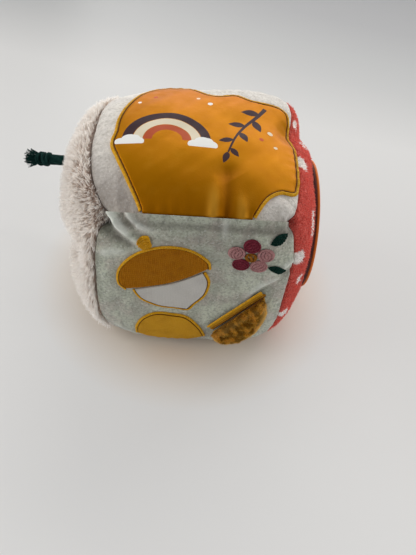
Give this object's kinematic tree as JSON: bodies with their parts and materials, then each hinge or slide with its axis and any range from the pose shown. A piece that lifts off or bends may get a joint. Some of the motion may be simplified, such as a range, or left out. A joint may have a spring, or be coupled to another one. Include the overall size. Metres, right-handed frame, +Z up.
{
  "type": "soft fabric block",
  "caption": "Stuffed cloth activity block for a baby: mixed-texture panels, leather patch, cut-out shapes, plush leaf flap, round mirror, rattle and knotted pull cord.",
  "frame": {"origin": "on the table, at the middle of the flat that the block rests on, straight under the middle of the block", "axes": "+Z up, -Y towards the front with the acorn and the flap, +X towards the mirror"},
  "size_m": [0.2082, 0.154, 0.1353],
  "materials": {
    "cream_velour": "short-pile speckled velour",
    "sage_velour": "short-pile mottled velour",
    "coral_terry": "brushed terry with white spots",
    "cream_plush": "long soft pile",
    "mustard_leather": "smooth coated leather cloth, satin",
    "yellow_thread": "dense satin stitch",
    "brown_rib": "fine ribbed cloth",
    "white_cloth": "plain cotton",
    "mustard_cloth": "smooth cotton",
    "mustard_plush": "crushed plush",
    "dusty_pink": "stitch-filled embroidery",
    "burgundy": "stitch-filled embroidery",
    "ochre_thread": "stitch-filled embroidery",
    "green_thread": "stitch-filled embroidery",
    "green_yarn": "twisted yarn",
    "fibre": "loose polyester fibre",
    "mirror_silver": "silvered shatterproof acrylic",
    "grey_foam": "thin padding felt",
    "brown_felt": "stiff felt",
    "clear_film": "thin crinkle film",
    "white_plastic": "moulded"
  },
  "bodies": {
    "block": {"top_panel": "cream_velour", "front_panel": "sage_velour", "left_panel": "cream_plush", "right_panel": "coral_terry", "back_panel": "sage_velour", "bottom_panel": "cream_velour", "fibre_fill": "fibre", "rattle_cup": "white_plastic", "rattle_lid": "white_plastic", "leather_patch": "mustard_leather", "patch_border": "yellow_thread", "acorn_cap": "brown_rib", "acorn_nut": "white_cloth", "acorn_stem": "yellow_thread", "cap_border": "yellow_thread", "nut_border": "yellow_thread", "cloth_leaf": "mustard_cloth", "cloth_leaf_border": "yellow_thread", "flower_petal_1": "dusty_pink", "flower_petal_2": "burgundy", "flower_petal_3": "dusty_pink", "flower_petal_4": "burgundy", "flower_petal_5": "dusty_pink", "flower_heart": "ochre_thread", "flower_long_leaf": "green_thread", "flower_short_leaf": "green_thread", "flap_stitch_row": "yellow_thread", "mirror_pad": "grey_foam", "mirror_backing": "brown_felt", "mirror_plate": "mirror_silver", "mirror_frame": "mustard_leather", "pull_cord": "green_yarn", "cord_knot": "green_yarn", "cord_tuft": "green_yarn"},
    "leaf_flap": {"flap_backing": "mustard_cloth", "flap_film": "clear_film", "flap_plush": "mustard_plush", "flap_hem": "yellow_thread"},
    "rattle_load": {"rattle_bead_1": "white_plastic", "rattle_bead_2": "white_plastic", "rattle_bead_3": "white_plastic", "rattle_bead_4": "white_plastic", "rattle_bead_5": "white_plastic"}
  },
  "joints": [
    {"name": "flap_lift", "type": "hinge", "parent": "block", "child": "leaf_flap", "pos_m": [0.0449, -0.06333, 0.06388], "axis": [-0.6101, 0, -0.7923], "range_deg": [0, 80]},
    {"name": "bead_rattle", "type": "slide", "parent": "block", "child": "rattle_load", "axis": [0, 0, 1], "range_m": [0, 0.013]}
  ]
}
